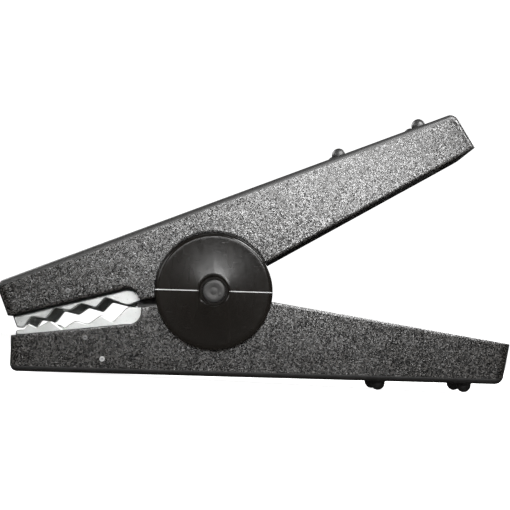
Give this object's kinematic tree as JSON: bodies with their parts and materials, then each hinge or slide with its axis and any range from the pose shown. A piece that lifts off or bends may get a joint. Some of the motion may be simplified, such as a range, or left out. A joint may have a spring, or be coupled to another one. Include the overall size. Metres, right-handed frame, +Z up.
{
  "type": "alligator clip",
  "caption": "Spring-loaded insulated alligator clip: two moulded shells hinged at a round hub, with toothed metal jaws and an inlet for a lead.",
  "frame": {"origin": "middle of the bounding box, on the surface that the clip stands on", "axes": "+X from the jaws to the handles, +Y along the pivot pin, +Z up, with the lower half below"},
  "size_m": [0.082, 0.0172, 0.0448],
  "materials": {
    "shell_plastic": "fine spark-eroded grain, moulded black",
    "cap_plastic": "smooth moulded black, satin gloss",
    "jaw_metal": "nickel-plated sheet",
    "pin_steel": "dull grey end",
    "spring_steel": "drawn wire, zinc-plated",
    "fastener_steel": "zinc-plated",
    "brass": "turned",
    "nylon": "natural nylon",
    "clamp_plastic": "moulded black",
    "grommet_rubber": "soft black"
  },
  "bodies": {
    "lower_half": {"lower_shell": "shell_plastic", "lower_jaw": "jaw_metal", "near_hub_cap": "cap_plastic", "pivot_pin": "pin_steel", "pin_rings": "fastener_steel", "spring_sleeve": "nylon", "torsion_spring": "spring_steel", "near_ear_washer": "nylon", "lower_jaw_screws": "fastener_steel", "terminal_bush": "brass", "terminal_washer": "fastener_steel", "terminal_screw": "fastener_steel", "cable_clamp": "clamp_plastic", "clamp_screws": "fastener_steel", "inlet_grommet": "grommet_rubber"},
    "upper_half": {"upper_shell": "shell_plastic", "upper_jaw": "jaw_metal", "far_hub_cap": "cap_plastic", "far_ear_washer": "nylon", "upper_jaw_screws": "fastener_steel"}
  },
  "joints": [
    {"name": "jaw_pivot", "type": "hinge", "parent": "lower_half", "child": "upper_half", "pos_m": [-0.00656, 0, 0.0143], "axis": [0, 1, 0], "range_deg": [0, 32], "stiffness_Nm_per_rad": 0.02, "springref_deg": -28.65, "deforming": ["torsion_spring"]}
  ]
}
